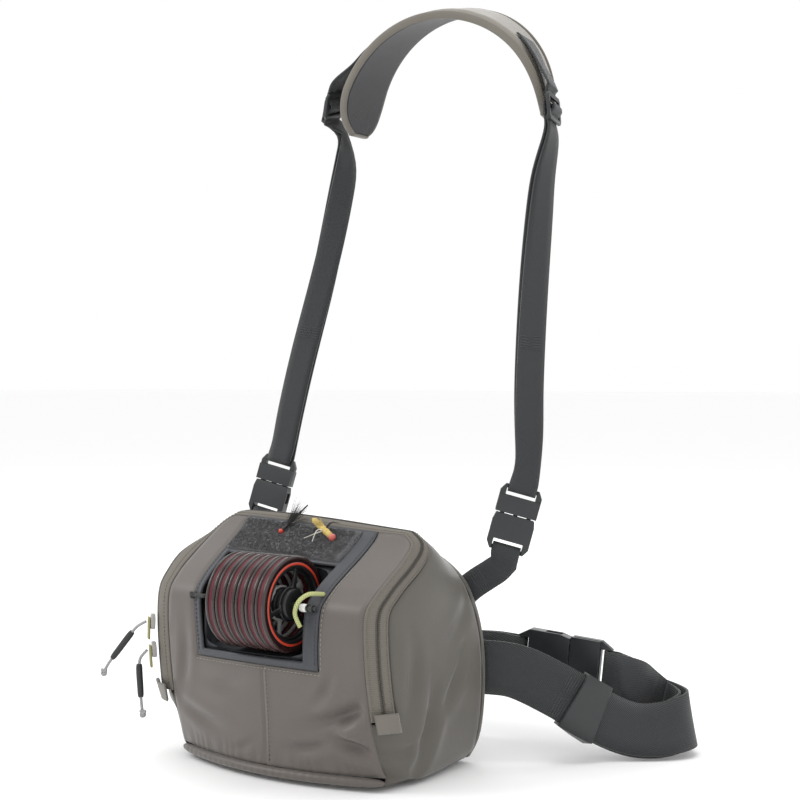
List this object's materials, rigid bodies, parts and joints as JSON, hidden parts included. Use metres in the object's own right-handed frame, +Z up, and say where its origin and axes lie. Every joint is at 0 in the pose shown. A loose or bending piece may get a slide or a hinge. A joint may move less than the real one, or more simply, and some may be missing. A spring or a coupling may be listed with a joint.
{
  "type": "hip pack",
  "caption": "Padded hip pack with a shoulder loop, a waist belt, a curved top zip and a front window that shows a row of line spools.",
  "frame": {"origin": "middle of the shoulder pad's underside, where the pad lies on what carries the pack", "axes": "+X to the wearer's right as seen from the front of the bag, -Y out of the bag's front, +Z up"},
  "size_m": [0.3613, 0.2797, 0.5658],
  "materials": {
    "anchor_left": "matte",
    "anchor_right": "matte",
    "back_panel": "matte",
    "bar_loop": "matte",
    "base_band": "matte",
    "belt_keeper": "matte",
    "belt_left": "matte",
    "belt_right": "matte",
    "buckle_left_female": "satin",
    "buckle_left_male": "satin",
    "buckle_right_female": "satin",
    "buckle_right_male": "satin",
    "cord_bead": "gloss",
    "cord_toggle": "gloss",
    "fly_hopper": "matte",
    "fly_patch": "matte",
    "fly_streamer": "matte",
    "front_panel": "matte",
    "glide_left": "satin",
    "glide_right": "satin",
    "pad_binding": "matte",
    "pad_mesh": "matte",
    "pull_cord_1": "matte",
    "pull_cord_2": "matte",
    "pull_knot_1": "matte",
    "pull_knot_2": "matte",
    "pull_sleeve_1": "matte",
    "pull_sleeve_2": "matte",
    "pull_tab_1": "matte",
    "pull_tab_2": "matte",
    "shoulder_pad": "matte",
    "side_shell": "matte",
    "spool_1": "satin",
    "spool_2": "satin",
    "spool_3": "satin",
    "spool_4": "satin",
    "spool_5": "satin",
    "spool_6": "satin",
    "spool_cord": "matte",
    "spool_well": "matte",
    "strap_left": "matte",
    "strap_right": "matte",
    "waist_buckle_female": "satin",
    "waist_buckle_male": "satin",
    "window_frame": "matte",
    "zip_coil": "satin",
    "zip_end_left": "matte",
    "zip_end_right": "matte",
    "zip_slider_1": "satin",
    "zip_slider_2": "satin",
    "zip_tape_front": "matte",
    "zip_tape_rear": "matte"
  },
  "bodies": {
    "pack": {"anchor_left": "anchor_left", "anchor_right": "anchor_right", "back_panel": "back_panel", "bar_loop": "bar_loop", "base_band": "base_band", "belt_keeper": "belt_keeper", "belt_left": "belt_left", "belt_right": "belt_right", "buckle_left_female": "buckle_left_female", "buckle_left_male": "buckle_left_male", "buckle_right_female": "buckle_right_female", "buckle_right_male": "buckle_right_male", "cord_bead": "cord_bead", "cord_toggle": "cord_toggle", "fly_hopper": "fly_hopper", "fly_patch": "fly_patch", "fly_streamer": "fly_streamer", "front_panel": "front_panel", "glide_left": "glide_left", "glide_right": "glide_right", "pad_binding": "pad_binding", "pad_mesh": "pad_mesh", "pull_cord_1": "pull_cord_1", "pull_cord_2": "pull_cord_2", "pull_knot_1": "pull_knot_1", "pull_knot_2": "pull_knot_2", "pull_sleeve_1": "pull_sleeve_1", "pull_sleeve_2": "pull_sleeve_2", "pull_tab_1": "pull_tab_1", "pull_tab_2": "pull_tab_2", "shoulder_pad": "shoulder_pad", "side_shell": "side_shell", "spool_cord": "spool_cord", "spool_well": "spool_well", "strap_left": "strap_left", "strap_right": "strap_right", "waist_buckle_female": "waist_buckle_female", "waist_buckle_male": "waist_buckle_male", "window_frame": "window_frame", "zip_coil": "zip_coil", "zip_end_left": "zip_end_left", "zip_end_right": "zip_end_right", "zip_slider_1": "zip_slider_1", "zip_slider_2": "zip_slider_2", "zip_tape_front": "zip_tape_front", "zip_tape_rear": "zip_tape_rear"},
    "spool_1": {"spool_1": "spool_1"},
    "spool_2": {"spool_2": "spool_2"},
    "spool_3": {"spool_3": "spool_3"},
    "spool_4": {"spool_4": "spool_4"},
    "spool_5": {"spool_5": "spool_5"},
    "spool_6": {"spool_6": "spool_6"}
  },
  "joints": [
    {"name": "spool_1_turn", "type": "hinge", "parent": "pack", "child": "spool_1", "pos_m": [-0.03515, -0.20394, -0.433], "axis": [1, 0, 0], "continuous": true},
    {"name": "spool_2_turn", "type": "hinge", "parent": "pack", "child": "spool_2", "pos_m": [-0.02645, -0.20394, -0.433], "axis": [1, 0, 0], "continuous": true},
    {"name": "spool_3_turn", "type": "hinge", "parent": "pack", "child": "spool_3", "pos_m": [-0.01775, -0.20394, -0.433], "axis": [1, 0, 0], "continuous": true},
    {"name": "spool_4_turn", "type": "hinge", "parent": "pack", "child": "spool_4", "pos_m": [-0.00905, -0.20394, -0.433], "axis": [1, 0, 0], "continuous": true},
    {"name": "spool_5_turn", "type": "hinge", "parent": "pack", "child": "spool_5", "pos_m": [-0.00035, -0.20394, -0.433], "axis": [1, 0, 0], "continuous": true},
    {"name": "spool_6_turn", "type": "hinge", "parent": "pack", "child": "spool_6", "pos_m": [0.00835, -0.20394, -0.433], "axis": [1, 0, 0], "continuous": true}
  ]
}
